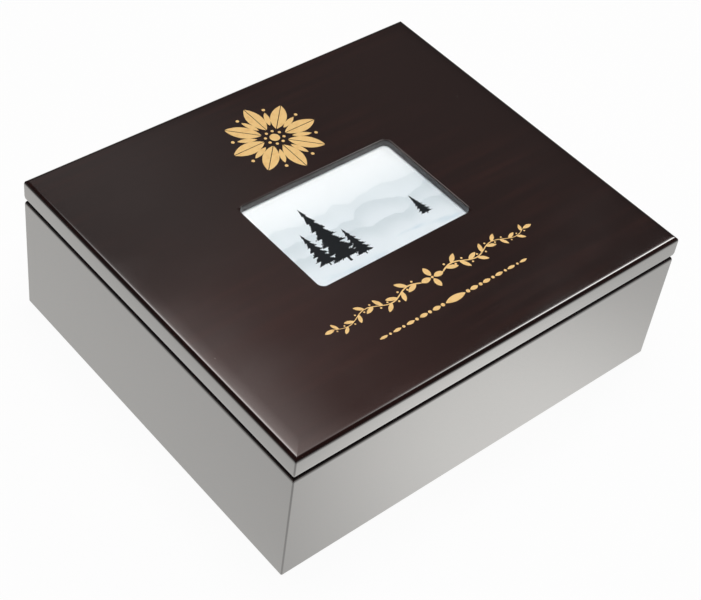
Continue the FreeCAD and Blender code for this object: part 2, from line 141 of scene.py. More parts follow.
class GildingSettings(bpy.types.PropertyGroup):
    """The gold ornaments on the lid."""

    gold: colour("Gold", "Colour of the gold leaf", (0.96, 0.65, 0.27))
    worn: colour("Worn gold", "Colour where the leaf is thinner", (0.82, 0.50, 0.18))
    thickness: length("Thickness", "How far the gold stands on the lacquer", 0.05)
    rosette_radius: length("Rosette radius", "Centre to the tip of a petal", 33.0)
    rosette_y: length("Rosette place", "How far behind the lid's middle the rosette is", 82.0)
    spray_reach: length("Spray reach", "Half the length of the leafy spray", 84.0)
    spray_y: length("Spray place", "How far behind the lid's middle the spray is", -72.0)
    beads_reach: length("Bead row reach", "Half the length of the row of beads", 60.0)
    beads_y: length("Bead row place", "How far behind the lid's middle the bead row is", -93.0)


class PictureSettings(bpy.types.PropertyGroup):
    """The print under the glass, and what holds it."""

    sky: colour("Sky", "Paper white of the bright sky", (0.93, 0.94, 0.95))
    mist: colour("Mist", "Pale blue grey of the hills", (0.73, 0.775, 0.80))
    ink: colour("Ink", "Dark of the trees", (0.016, 0.020, 0.024))
    board: colour("Board", "Brown of the fibreboard", (0.30, 0.20, 0.115))
    board_round: length("Board round", "Round on the backing's edges", 0.3)


class LiningSettings(bpy.types.PropertyGroup):
    """The velvet inside, the felt underneath and the dots on the rim."""

    velvet: colour("Velvet", "Colour of the velvet pile", (0.012, 0.011, 0.013))
    felt: colour("Felt", "Colour of the pressed felt", (0.022, 0.021, 0.023))
    rubber: colour("Rubber", "Colour of the rim's soft dots", (0.050, 0.045, 0.045))
    wrap: length("Wrap", "Round where the velvet goes over a board's edge", 0.8)
    picture_gap: length("Picture gap", "Gap between the lid's lining and the picture's backing", 0.5)
    felt_corner: length("Felt corner", "Corner radius of the felt", 5.0)
    felt_edge: length("Felt edge", "Soft round on the felt's lower edge", 0.25)
    dot_radius: length("Dot radius", "Radius of a soft dot", 3.0)


class BrassSettings(bpy.types.PropertyGroup):
    """The hinges, the stay, the turn buttons and the screws."""

    brass: colour("Brass", "Colour of the polished brass", (0.80, 0.56, 0.24))
    tarnish: colour("Tarnish", "Colour where the brass has dulled", (0.60, 0.38, 0.14))
    softness: length("Softness", "Round on the brass pieces' edges", 0.18)
    leaf_thickness: length("Leaf thickness", "Thickness of a hinge leaf", 1.3)
    mortise_gap: length("Mortise gap", "Gap round a leaf in its mortise", 0.15)
    barrel_gap: length("Barrel gap", "Gap round a hinge barrel", 0.35)
    screw_head: length("Screw head", "Radius of a screw's head", 2.4)
    screw_shank: length("Screw shank", "Radius of a screw's shank", 1.25)
    screw_slot: length("Screw slot", "Width of the slot in a screw's head", 0.6)
    screw_dome: length("Screw dome", "Height of a round screw head", 1.3)


class StageSettings(bpy.types.PropertyGroup):
    """The floor, the lamps and the camera."""

    camera_place: place("Camera place", "Where the camera stands", (-0.54933, -0.53549, 0.80428))
    camera_target: place("Camera target", "A point on the camera's axis", (-0.01206, -0.01878, 0.05))
    camera_roll: FloatProperty(name="Camera roll", description="Turn about the camera's axis",
                               default=math.radians(8.57), subtype="ANGLE")
    lens: FloatProperty(name="Lens", description="Focal length on a 36 mm wide frame, in millimetres",
                        default=85.07)
    floor_radius: length("Floor radius", "Reach of the pale floor", 4000)
    sweep_height: length("Sweep height", "Height of the wall that the floor runs up into", 1000)
    # Middle of the pool of light that is painted into the floor's glow in reflections
    pool_place: place("Pool place", "Middle of the brightest patch of floor", (0.03, -0.145, 0.0))
    lamp_place: place("Lamp place", "Where the overhead lamp hangs", (-0.15, -0.15, 1.5))
    lamp_size: length("Lamp size", "Width of the overhead lamp", 900)
    lamp_power: FloatProperty(name="Lamp power", description="Power of the overhead lamp, in watts",
                              default=15.5)
    room: colour("Room", "Dim light of the room around", (0.020, 0.021, 0.022))


class KeepsakeBoxSettings(bpy.types.PropertyGroup):
    """All the settings of the box."""

    lacquer: PointerProperty(type=LacquerSettings)
    gilding: PointerProperty(type=GildingSettings)
    picture: PointerProperty(type=PictureSettings)
    lining: PointerProperty(type=LiningSettings)
    brass: PointerProperty(type=BrassSettings)
    stage: PointerProperty(type=StageSettings)


class Wire:
    """An output socket of a node, for shader maths in Python."""

    def __init__(self, finish, socket):
        self.finish = finish
        self.socket = socket

    def maths(self, operation, first, second=0.0):
        """A Math node on two values."""
        return self.finish.node("Math", {"operation": operation}, {0: first, 1: second})

    def either(self, other):
        """The greater of two values."""
        return self.maths("MAXIMUM", self, other)

    def __add__(self, other):
        return self.maths("ADD", self, other)

    def __sub__(self, other):
        return self.maths("SUBTRACT", self, other)

    def __rsub__(self, other):
        return self.maths("SUBTRACT", other, self)

    def __mul__(self, other):
        return self.maths("MULTIPLY", self, other)

    def __truediv__(self, other):
        return self.maths("DIVIDE", self, other)

    def __lt__(self, other):
        return self.maths("LESS_THAN", self, other)

    def __gt__(self, other):
        return self.maths("GREATER_THAN", self, other)

    def __abs__(self):
        return self.maths("ABSOLUTE", self)

    def __mod__(self, other):
        return self.maths("FLOORED_MODULO", self, other)

    __radd__ = __add__
    __rmul__ = __mul__


class Finish:
    """The node tree of a material or of the world in the making."""

    def __init__(self, owner):
        owner.use_nodes = True
        self.owner = owner
        self.tree = owner.node_tree
        self.tree.nodes.clear()

    def node(self, kind, settings, sockets, output=0):
        """Add a node: its settings first, then the values and links of its sockets."""
        made = self.tree.nodes.new("ShaderNode" + kind)
        for name, value in settings.items():
            setattr(made, name, value)
        for key, value in sockets.items():
            if isinstance(value, Wire):
                self.tree.links.new(value.socket, made.inputs[key])
            else:
                made.inputs[key].default_value = value
        return Wire(self, made.outputs[output])

    def point(self):
        """The surface point in the part's own frame, in metres."""
        return self.node("TexCoord", {}, {}, "Object")

    def axis(self, vector, name):
        """One coordinate of a vector."""
        return self.node("SeparateXYZ", {}, {"Vector": vector}, name)

    def noise(self, vector, scale, detail=2.0):
        """Soft noise from 0 to 1 with so many waves to the metre."""
        return self.node("TexNoise", {}, {"Vector": vector, "Scale": scale, "Detail": detail})

    def streaks(self, vector, waves, detail):
        """Soft noise from 0 to 1 with a number of waves to the metre for each axis."""
        stretched = self.node("VectorMath", {"operation": "MULTIPLY"}, {0: vector, 1: waves})
        return self.noise(stretched, 1.0, detail)

    def rise(self, value, low, high):
        """A smooth step from 0 at a low value to 1 at a high one."""
        return self.node("MapRange", {"interpolation_type": "SMOOTHSTEP"},
                         {"Value": value, "From Min": low, "From Max": high})

    def blend(self, factor, *ends):
        """A colour between two others."""
        first, second = (end if isinstance(end, Wire) else solid_colour(end) for end in ends)
        return self.node("Mix", {"data_type": "RGBA"}, {0: factor, 6: first, 7: second}, 2)

    def bump(self, height, distance):
        """A normal that follows a height map of this depth in metres."""
        return self.node("Bump", {}, {"Height": height, "Distance": distance})

    def light_path(self, ray):
        """1 for this kind of ray, or else 0."""
        return self.node("LightPath", {}, {}, ray)

    def close(self, shader, kind="OutputMaterial"):
        """Join the last shader to the output and give the material."""
        output = self.tree.nodes.new("ShaderNode" + kind)
        self.tree.links.new(shader.socket, output.inputs["Surface"])
        return self.owner

    def surface(self, sockets):
        """Close the material with one Principled shader."""
        return self.close(self.node("BsdfPrincipled", {}, sockets))


def solid_colour(value):
    """A colour with full alpha, for a node's socket."""
    return (*value, 1.0)


def shade(value, factor):
    """A lighter or darker colour."""
    return tuple(factor * channel for channel in value)


def material(name, make, *settings):
    """A material by its name, made the first time that it is asked for."""
    return bpy.data.materials.get(name) or make(Finish(bpy.data.materials.new(name)), *settings)


def lacquer_finish(finish, settings, grain):
    """Dark stained wood under thick polished lacquer, with a few specks of dust."""
    point = finish.point()
    figure = finish.rise(finish.streaks(point, grain, 4.0), 0.42, 0.72)
    cloud = finish.rise(finish.noise(point, 9.0), 0.30, 0.75)
    wood = finish.blend(figure * cloud, settings.stain, settings.figure)

    cells = {"Vector": point, "Scale": 75.0}
    speck_radius = 0.017
    bare_share = 0.80
    near = finish.node("TexVoronoi", {}, cells, "Distance")
    chance = finish.axis(finish.node("TexVoronoi", {}, cells, "Color"), "X")
    specks = (near < speck_radius) * (chance > bare_share)

    # The thick coat shines most at a glance, and the window's wall has none
    facing = finish.node("LayerWeight", {}, {"Blend": 0.5}, "Facing")
    gloss = 0.10 * finish.rise(facing, 0.04, 0.20) + 0.90 * finish.rise(facing, 0.15, 0.85)
    in_window = ((abs(finish.axis(point, "X")) < settings.window_length / 2 + LEAST_ROUND)
                 * (abs(finish.axis(point, "Y")) < settings.window_depth / 2 + LEAST_ROUND))
    smear = finish.rise(finish.streaks(point, (14.0, 22.0, 18.0), 3.0), 0.35, 0.70)
    ripple = finish.noise(point, 55.0)
    return finish.surface({
        "Base Color": finish.blend(specks, wood, settings.dust),
        "Roughness": 0.09 + 0.07 * smear + 0.3 * specks,
        "IOR": 1.7,
        "Coat Weight": gloss * (1.0 - 0.9 * specks) * (1.0 - in_window),
        "Coat Roughness": 0.04,
        "Coat IOR": 12.0,
        "Normal": finish.bump(ripple, 0.004 * MM),
    })


def lacquer(settings, along_depth=False):
    """The boards' lacquer, with the wood's grain along the length or the depth of the box."""
    if along_depth:
        return material("dark_lacquer_sides", lacquer_finish, settings, (160.0, 7.0, 160.0))
    return material("dark_lacquer", lacquer_finish, settings, (7.0, 160.0, 160.0))


def gold_finish(finish, settings):
    """Satin gold leaf, a little thinner in places."""
    point = finish.point()
    thin = finish.rise(finish.noise(point, 240.0, 4.0), 0.45, 0.75)
    grain = finish.noise(point, 2600.0)
    return finish.surface({
        "Base Color": finish.blend(0.6 * thin, settings.gold, settings.worn),
        "Roughness": 0.42 + 0.16 * thin,
        "Metallic": 0.25,
        "Normal": finish.bump(grain, 0.010 * MM),
    })


def brass_finish(finish, settings):
    """Polished brass with fine rubbing marks and some dulling."""
    point = finish.point()
    rubbed = finish.streaks(point, (900.0, 4200.0, 4200.0), 3.0)
    dulled = finish.rise(finish.noise(point, 130.0, 4.0), 0.48, 0.80)
    return finish.surface({
        "Base Color": finish.blend(dulled, settings.brass, settings.tarnish),
        "Roughness": 0.28 + 0.10 * rubbed + 0.12 * dulled,
        "Metallic": 1.0,
        "Normal": finish.bump(rubbed, 0.0005 * MM),
    })


def velvet_finish(finish, settings):
    """Short pile that was brushed this way and that."""
    point = finish.point()
    brushed = finish.rise(finish.streaks(point, (16.0, 34.0, 34.0), 3.0), 0.35, 0.70)
    pile = finish.noise(point, 2600.0)
    return finish.surface({
        "Base Color": finish.blend(brushed, settings.velvet, shade(settings.velvet, 2.1)),
        "Roughness": 0.86 + 0.1 * pile,
        "Specular IOR Level": 0.15,
        "Sheen Weight": 0.35,
        "Sheen Roughness": 0.45,
        "Sheen Tint": (0.55, 0.52, 0.58, 1.0),
        "Normal": finish.bump(pile, 0.12 * MM),
    })


def felt_finish(finish, settings):
    """Pressed felt with matted fibres."""
    point = finish.point()
    fibres = finish.noise(point, 900.0, 6.0)
    worn = finish.noise(point, 28.0, 3.0)
    return finish.surface({
        "Base Color": finish.blend(0.6 * fibres + 0.4 * worn, settings.felt, shade(settings.felt, 1.9)),
        "Roughness": 0.9 + 0.08 * fibres,
        "Specular IOR Level": 0.1,
        "Normal": finish.bump(fibres, 0.20 * MM),
    })


def rubber_finish(finish, settings):
    """Soft matt rubber."""
    bloom = finish.noise(finish.point(), 700.0, 3.0)
    return finish.surface({
        "Base Color": finish.blend(bloom, settings.rubber, shade(settings.rubber, 1.5)),
        "Roughness": 0.55 + 0.2 * bloom,
    })


def board_finish(finish, settings):
    """Smooth brown fibreboard with short fibres pressed into it."""
    point = finish.point()
    fibres = finish.streaks(point, (700.0, 1700.0, 1200.0), 5.0)
    patches = finish.noise(point, 45.0, 3.0)
    dark = 0.7 * finish.rise(fibres, 0.35, 0.68) + 0.3 * patches
    return finish.surface({
        "Base Color": finish.blend(dark, settings.board, shade(settings.board, 0.55)),
        "Roughness": 0.62 + 0.2 * fibres,
        "Normal": finish.bump(fibres, 0.03 * MM),
    })


def glass_finish(finish):
    """Clear picture glass that lets the light through to the print."""
    smear = finish.noise(finish.point(), 30.0, 3.0)
    pane = finish.node("BsdfPrincipled", {}, {
        "Base Color": (0.97, 0.985, 0.98, 1.0),
        "Roughness": 0.02 * smear,
        "IOR": 1.5,
        "Transmission Weight": 1.0,
    })
    clear = finish.node("BsdfTransparent", {}, {})
    shadow = finish.light_path("Is Shadow Ray")
    return finish.close(finish.node("MixShader", {}, {0: shadow, 1: pane, 2: clear}))


def ridge(finish, across, seed, foot, height, waves):
    """The skyline of a range of hills, as a height on the paper."""
    along = finish.node("CombineXYZ", {}, {"X": across, "Y": seed})
    return foot + height * finish.noise(along, waves, 3.0)


def fir(finish, across, up, middle, foot, height, spread):
    """1 inside the outline of a fir tree on the paper, or else 0."""
    tiers = 7.0
    trunk_share = 0.07
    climb = (up - foot) / height
    droop = 0.50 + 0.50 * (1.0 - (climb * tiers) % 1.0)
    twigs = finish.node("CombineXYZ", {}, {"X": across, "Y": up})
    tuft = finish.noise(twigs, 900.0, 3.0)
    ragged = 0.55 + 0.9 * tuft
    beside = abs(across - middle)
    crown = (beside < (1.0 - climb) * droop * ragged * spread) * (climb > 0.12 * tuft - 0.04)
    trunk = (beside < trunk_share * spread) * (climb > -0.05) * (climb < 0.5)
    return crown.either(trunk)


def print_finish(finish, settings):
    """A winter landscape on glossy paper: bright sky, misty hills, snow and a few firs."""
    low_sky = (0.84, 0.875, 0.90)
    snow = (0.83, 0.86, 0.885)
    snow_shade = (0.68, 0.76, 0.81)
    point = finish.point()
    across = finish.axis(point, "X")
    up = finish.axis(point, "Y")
    picture = finish.blend(finish.rise(up, -8 * MM, 36 * MM), low_sky, settings.sky)
    hills = (
        (1.0, -4 * MM, 34 * MM, 26.0, 0.40),
        (5.0, -17 * MM, 36 * MM, 34.0, 0.80),
        (9.0, -24 * MM, 24 * MM, 46.0, 1.00),
    )
    for seed, foot, height, waves, depth in hills:
        below = ridge(finish, across, seed, foot, height, waves) - up
        hill = finish.blend(finish.rise(below, 0.0, 16 * MM), settings.mist, snow)
        picture = finish.blend(depth * finish.rise(below, -0.15 * MM, 0.15 * MM), picture, hill)
    drifts = ridge(finish, across, 13.0, -38 * MM, 20 * MM, 16.0) - up
    hollows = finish.streaks(point, (28.0, 150.0, 1.0), 4.0)
    drifted = finish.blend(finish.rise(hollows, 0.50, 0.72), snow, snow_shade)
    picture = finish.blend(finish.rise(drifts, -0.2 * MM, 0.2 * MM), picture, drifted)
    firs = (
        (-27 * MM, -27 * MM, 52 * MM, 13 * MM),
        (-40 * MM, -24 * MM, 30 * MM, 8.5 * MM),
        (-15 * MM, -29 * MM, 25 * MM, 7.5 * MM),
        (41 * MM, -23 * MM, 19 * MM, 5.5 * MM),
    )
    for middle, foot, height, spread in firs:
        picture = finish.blend(fir(finish, across, up, middle, foot, height, spread), picture, settings.ink)
    return finish.surface({
        "Base Color": picture,
        "Roughness": 0.30 + 0.12 * hollows,
    })


def parts_of(geometry, kind):
    """The vertices, edges or faces among what an operator made."""
    return [part for part in geometry if isinstance(part, kind)]


def outline(mesh, half_length, half_depth, radius, z):
    """Add a rounded rectangle: a circle whose quarters are moved out to the four corners."""
    half_step = math.pi / (4 * CORNER_STEPS)
    made = bmesh.ops.create_circle(mesh, segments=4 * CORNER_STEPS, radius=radius / math.cos(half_step),
                                   matrix=Matrix.Rotation(half_step, 4, "Z"))["verts"]
    for vert in made:
        vert.co.x += math.copysign(half_length - radius, vert.co.x)
        vert.co.y += math.copysign(half_depth - radius, vert.co.y)
        vert.co.z = z
    return mesh.edges[:]


def drawn_on(mesh, edges, before, after):
    """Draw an outline's edges on to the next outline, corner by corner."""
    *old_halves, old_radius, _ = before
    *new_halves, new_radius, z = after
    scale = new_radius / old_radius
    grown = bmesh.ops.extrude_edge_only(mesh, edges=edges)["geom"]
    for vert in parts_of(grown, bmesh.types.BMVert):
        for axis, (old_half, new_half) in enumerate(zip(old_halves, new_halves)):
            from_corner = abs(vert.co[axis]) - old_half + old_radius
            vert.co[axis] = math.copysign(new_half - new_radius + scale * from_corner, vert.co[axis])
        vert.co.z = z
    return parts_of(grown, bmesh.types.BMEdge)


def loft(loops, closed):
    """A skin through rounded rectangles of half length, half depth, corner radius and height.

    It is closed into a ring, or capped at both ends.
    """
    loops = [(*halves, max(radius, LEAST_ROUND), z) for *halves, radius, z in loops]
    mesh = bmesh.new()
    first = outline(mesh, *loops[0])
    edges = first
    for before, after in zip(loops, loops[1:] + (loops[:1] if closed else [])):
        edges = drawn_on(mesh, edges, before, after)
    if closed:
        bmesh.ops.remove_doubles(mesh, verts=mesh.verts, dist=WELD)
    else:
        for end in (first, edges):
            bmesh.ops.edgeloop_fill(mesh, edges=end)
    bmesh.ops.recalc_face_normals(mesh, faces=mesh.faces)
    return mesh


def quarter(radius):
    """The inset and the drop of points on a quarter round, from the upright face to the flat one."""
    turns = [math.pi / 2 * step / ROUND_STEPS for step in range(ROUND_STEPS + 1)]
    return [(radius * (1 - math.cos(turn)), radius * (1 - math.sin(turn))) for turn in turns]


def outlines(half_length, half_depth, corner, profile):
    """The rounded rectangles through a profile's points of inset and height."""
    return [(half_length - inset, half_depth - inset, corner - inset, z) for inset, z in profile]


def domed(radius, tall, share):
    """The profile of a flat dome that is rounded over a share of its height."""
    return [(radius - inset, tall - drop) for inset, drop in quarter(share * tall)] + [(0, tall)]


def everything(mesh):
    """All the vertices, edges and faces of a mesh."""
    return mesh.verts[:] + mesh.edges[:] + mesh.faces[:]


def mitred(ring, side):
    """The board of a mitred frame on one side of the box."""
    board = ring.copy()
    outward = SIDES[side]
    along = Vector((-outward.y, outward.x, 0))
    for end in (along, -along):
        corner = Vector((HALF_LENGTH * (outward.x + end.x), HALF_DEPTH * (outward.y + end.y), 0))
        bmesh.ops.bisect_plane(board, geom=everything(board), plane_co=corner, plane_no=end - outward,
                               clear_outer=True)
    bmesh.ops.holes_fill(board, edges=[edge for edge in board.edges if edge.is_boundary])
    bmesh.ops.recalc_face_normals(board, faces=board.faces)
    return board


def block(low, high):
    """A box between two corners."""
    mesh = bmesh.new()
    low, high = Vector(low), Vector(high)
    fit = Matrix.Translation((low + high) / 2) @ Matrix.Diagonal((*(high - low), 1))
    bmesh.ops.create_cube(mesh, size=1, matrix=fit)
    return mesh


def plank(node, softness):
    """A board of a node's size with rounded edges."""
    mesh = block(*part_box(node))
    bmesh.ops.bevel(mesh, geom=mesh.edges[:], offset=softness, affect="EDGES", segments=3, profile=0.5,
                    material=-1)
    return mesh


def bar_along_x(radius, middle, reach):
    """A round bar that lies along X."""
    mesh = bmesh.new()
    lie = Matrix.Translation(middle) @ Matrix.Rotation(math.pi / 2, 4, "Y")
    bmesh.ops.create_cone(mesh, cap_ends=True, segments=2 * SPIN_STEPS, radius1=radius, radius2=radius,
                          depth=2 * reach, matrix=lie)
    return mesh


def spun(profile):
    """A turned form about the Z axis from points of radius and height."""
    mesh = bmesh.new()
    verts = [mesh.verts.new((radius, 0, z)) for radius, z in profile]
    edges = [mesh.edges.new(pair) for pair in zip(verts, verts[1:])]
    bmesh.ops.spin(mesh, geom=verts + edges, cent=(0, 0, 0), axis=(0, 0, 1), angle=2 * math.pi,
                   steps=SPIN_STEPS, use_merge=True)
    bmesh.ops.remove_doubles(mesh, verts=mesh.verts, dist=WELD)
    bmesh.ops.recalc_face_normals(mesh, faces=mesh.faces)
    return mesh


def as_mesh(name, mesh):
    """The mesh data of a bmesh, which is freed."""
    data = bpy.data.meshes.new(name)
    mesh.to_mesh(data)
    mesh.free()
    return data


def linked(name, data):
    """A new object in the scene."""
    made = bpy.data.objects.new(name, data)
    bpy.context.scene.collection.objects.link(made)
    return made


def carved(mesh, cutters):
    """A closed mesh less some others."""
    solid = linked("carved", as_mesh("carved", mesh))
    tools = [linked("cutter", as_mesh("cutter", cutter)) for cutter in cutters]
    for tool in tools:
        cut = solid.modifiers.new("Cut", "BOOLEAN")
        cut.operation = "DIFFERENCE"
        cut.solver = "EXACT"
        cut.object = tool
    result = bmesh.new()
    result.from_object(solid, bpy.context.evaluated_depsgraph_get())
    for used in (solid, *tools):
        bpy.data.meshes.remove(used.data)
    return result


def repeated(model, places):
    """One mesh that holds a copy of a model at each place."""
    data = as_mesh("model", model)
    mesh = bmesh.new()
    for fit in places:
        copy = data.copy()
        copy.transform(fit)
        mesh.from_mesh(copy)
        bpy.data.meshes.remove(copy)
    bpy.data.meshes.remove(data)
    return mesh


def eased_copy(node, softness):
    """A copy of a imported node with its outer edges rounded."""
    mesh = bmesh.new()
    mesh.from_mesh(frame["nodes"][node].data)
    bmesh.ops.remove_doubles(mesh, verts=mesh.verts, dist=WELD)
    bmesh.ops.dissolve_limit(mesh, angle_limit=FLAT_ANGLE, verts=mesh.verts, edges=mesh.edges)
    hard = [edge for edge in mesh.edges
            if edge.is_manifold and edge.is_convex and edge.calc_face_angle() > HARD_ANGLE]
    bmesh.ops.bevel(mesh, geom=hard, offset=softness, affect="EDGES", segments=2, profile=0.5, material=-1,
                    clamp_overlap=True)
    return mesh


def add_piece(name, mesh, finish, body, slot, *nodes):
    """Finish a piece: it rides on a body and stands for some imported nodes."""
    data = as_mesh(name, mesh)
    stale = data.attributes.get("custom_normal")
    if stale:
        data.attributes.remove(stale)
    data.materials.clear()
    data.materials.append(finish)
    data.shade_smooth()
    data.set_sharp_from_angle(angle=HARD_ANGLE)
    piece = linked(name, data)
    piece.modifiers.new("Flat faces", "WEIGHTED_NORMAL").keep_sharp = True
    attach(piece, body)
    if nodes:
        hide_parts(*nodes)
    return piece


def dress(node, finish):
    """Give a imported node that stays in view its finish."""
    for held in frame["nodes"][node].material_slots:
        held.material = finish


def hinge_cutters(brass, edge_z, upward):
    """What a back edge loses to the hinges: a mortise for each leaf and the relief round its barrel."""
    cutters = []
    for hand in HANDS:
        low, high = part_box(hand + "_hinge_base_leaf")
        levels = sorted((edge_z + upward * brass.leaf_thickness, edge_z - upward * SPARE))
        cutters.append(block((low.x - brass.mortise_gap, low.y - brass.mortise_gap, levels[0]),
                             (high.x + brass.mortise_gap, HALF_DEPTH + SPARE, levels[1])))
        middle = Vector(((low.x + high.x) / 2, HINGE_AXIS.y, HINGE_AXIS.z))
        cutters.append(bar_along_x(high.y - HINGE_AXIS.y + brass.barrel_gap, middle,
                                   (high.x - low.x) / 2 + brass.mortise_gap))
    return cutters


def add_boards(box, profile, body, kind, edge_z, upward):
    """The four mitred boards of a frame round the box, with the back one cut out for the hinges."""
    wood = box.lacquer
    ring = loft(outlines(HALF_LENGTH, HALF_DEPTH, wood.upright_round, profile), closed=True)
    for side in SIDES:
        board = mitred(ring, side)
        if side == "back":
            board = carved(board, hinge_cutters(box.brass, edge_z, upward))
        add_piece(f"{side}_{kind}_board", board, lacquer(wood, side in HANDS), body, "lacquered_wood",
                  f"{body}_{side}_{kind}")
    ring.free()


class KEEPSAKE_OT_base_boards(bpy.types.Operator):
    """Make the four lacquered walls of the base"""

    bl_idname = "keepsake.base_boards"
    bl_label = "Base Boards"

    def execute(self, context):
        box = context.scene.keepsake_box
        wood = box.lacquer
        rabbet = HALF_LENGTH - BOTTOM_HIGH.x - wood.bottom_gap
        profile = [(inset, WALL_LOW.z + drop) for inset, drop in reversed(quarter(wood.foot_round))]
        profile += [(inset, WALL_HIGH.z - drop) for inset, drop in quarter(wood.rim_round)]
        profile += [(WALL_WIDTH, WALL_HIGH.z), (WALL_WIDTH, BOTTOM_HIGH.z), (rabbet, BOTTOM_HIGH.z),
                    (rabbet, WALL_LOW.z)]
        add_boards(box, profile, "base", "wall", WALL_HIGH.z, -1)
        return {"FINISHED"}


class KEEPSAKE_OT_lid_boards(bpy.types.Operator):
    """Make the lid's panel with its window, and the four rails under it"""

    bl_idname = "keepsake.lid_boards"
    bl_label = "Lid Boards"

    def execute(self, context):
        box = context.scene.keepsake_box
        wood = box.lacquer
        profile = [(inset + wood.lid_low_taper, RAIL_LOW.z + drop)
                   for inset, drop in reversed(quarter(wood.lid_low_round))]
        profile += [(0, RAIL_LOW.z + wood.lid_low_round + wood.taper_rise), (0, PANEL_LOW.z),
                    (RAIL_WIDTH, PANEL_LOW.z), (RAIL_WIDTH, RAIL_LOW.z)]
        add_boards(box, profile, "lid", "rail", RAIL_LOW.z, 1)

        top = PANEL_HIGH.z - box.gilding.thickness
        profile = [(0, PANEL_LOW.z)]
        profile += [(inset, top - wood.pillow_drop - drop) for inset, drop in quarter(wood.lid_top_round)]
        shares = [(step + 1) / PILLOW_STEPS for step in range(PILLOW_STEPS)]
        profile += [(wood.lid_top_round + share * wood.pillow_width,
                     top - wood.pillow_drop * (1 - share) ** 2) for share in shares]
        window = [(-inset, top - drop) for inset, drop in reversed(quarter(wood.window_round))]
        window += [(0, PANEL_LOW.z)]
        loops = outlines(HALF_LENGTH, HALF_DEPTH, wood.upright_round, profile)
        loops += outlines(wood.window_length / 2, wood.window_depth / 2, wood.window_corner, window)
        add_piece("lid_top_board", loft(loops, closed=True), lacquer(wood), "lid", "lacquered_wood",
                  "lid_panel")
        return {"FINISHED"}


def leaf(mesh, reach, width, fit):
    """A flat leaf from the origin along +X: a circle drawn out, with its ends brought to points."""
    made = bmesh.ops.create_circle(mesh, cap_ends=True, segments=LEAF_STEPS, radius=1)["verts"]
    for vert in made:
        vert.co.x = reach * (vert.co.x + 1) / 2
        vert.co.y = width / 2 * vert.co.y * abs(vert.co.y) ** 0.7
    bmesh.ops.transform(mesh, matrix=fit, verts=made)
    return made


def half_petal(mesh, reach, width, rib, fit):
    """One side of a petal along +X, with half a rib left bare beside it."""
    flat = bmesh.new()
    leaf(flat, reach, width, Matrix.Identity(4))
    bmesh.ops.bisect_plane(flat, geom=everything(flat), plane_co=(0, rib / 2, 0), plane_no=(0, 1, 0),
                           clear_inner=True)
    data = as_mesh("petal", flat)
    data.transform(fit)
    mesh.from_mesh(data)
    bpy.data.meshes.remove(data)


def bead(mesh, radius, fit):
    """A flat round bead."""
    bmesh.ops.create_circle(mesh, cap_ends=True, segments=LEAF_STEPS, radius=radius, matrix=fit)


def turned(angle):
    """A turn about Z."""
    return Matrix.Rotation(angle, 4, "Z")


def moved(x, y, sunk=0):
    """A move in the plane of the lid, and a little down into it."""
    return Matrix.Translation((x, y, -sunk))


def mirrored(hand):
    """The same drawing to the right (1) or to the left (-1)."""
    return Matrix.Diagonal((hand, 1, 1, 1))


def rosette(gilding):
    """Eight ribbed petals round a beaded eye, with small leaves between them."""
    mesh = bmesh.new()
    tip = gilding.rosette_radius
    sunk = UNDER_LEAVES * gilding.thickness
    petals = 8
    for index in range(petals):
        out = turned(2 * math.pi * index / petals)
        for hand in (1, -1):
            half = out @ moved(0.26 * tip, 0) @ Matrix.Diagonal((1, hand, 1, 1))
            half_petal(mesh, reach=0.74 * tip, width=0.33 * tip, rib=0.016 * tip, fit=half)
        between = turned(2 * math.pi * (index + 0.5) / petals)
        leaf(mesh, reach=0.40 * tip, width=0.115 * tip, fit=between @ moved(0.36 * tip, 0, sunk))
        bead(mesh, radius=0.036 * tip, fit=between @ moved(0.85 * tip, 0))
        bead(mesh, radius=0.032 * tip, fit=between @ moved(0.19 * tip, 0))
    bead(mesh, radius=0.105 * tip, fit=moved(0, 0))
    return mesh


def stem(mesh, start, reach, wave, waves, width, hand, sunk):
    """A waving stem that runs out and thins from a start on X: a strip bent to a sine, below the leaves."""
    thinning = 0.65
    made = bmesh.ops.create_grid(mesh, x_segments=STEM_STEPS, y_segments=1, size=1)["verts"]
    for vert in made:
        share = (vert.co.x + 1) / 2
        thin = width * (1 - thinning * share)
        vert.co.y = wave * math.sin(2 * math.pi * waves * share) + vert.co.y * thin / 2
        vert.co.x = hand * (start + share * reach)
        vert.co.z = -sunk


def spray(gilding):
    """A leafy spray: a four-leaved knot with a waving stem, its leaves and berries to each side."""
    mesh = bmesh.new()
    sunk = UNDER_LEAVES * gilding.thickness
    start = 9.0 * MM
    end_leaf = 7.0 * MM
    reach = gilding.spray_reach - start - end_leaf
    wave = 2.6 * MM
    waves = 2.0
    leaves = 12
    leaf_turn = math.radians(42)
    berry_turn = math.radians(45)
    for index in range(4):
        leaf(mesh, reach=7.6 * MM, width=4.0 * MM, fit=turned(math.pi / 2 * index) @ moved(1.3 * MM, 0))
    bead(mesh, radius=0.9 * MM, fit=moved(0, 0))
    for hand in (1, -1):
        stem(mesh, start, reach, wave, waves, 1.1 * MM, hand, 2 * sunk)
        for index in range(leaves):
            share = (index + 0.55) / leaves
            phase = 2 * math.pi * waves * share
            slope = math.atan2(wave * math.cos(phase) * 2 * math.pi * waves, reach)
            size = 1 - 0.35 * share
            side = 1 if index % 2 else -1
            node = mirrored(hand) @ moved(start + share * reach, wave * math.sin(phase)) @ turned(slope)
            leaf(mesh, reach=9.0 * MM * size, width=3.4 * MM * size, fit=node @ turned(side * leaf_turn))
            berry = node @ turned(-side * berry_turn) @ moved(3.1 * MM * size, 0, sunk)
            bead(mesh, radius=0.80 * MM * size, fit=berry)
        leaf(mesh, reach=end_leaf, width=2.8 * MM, fit=mirrored(hand) @ moved(start + reach, 0))
    return mesh


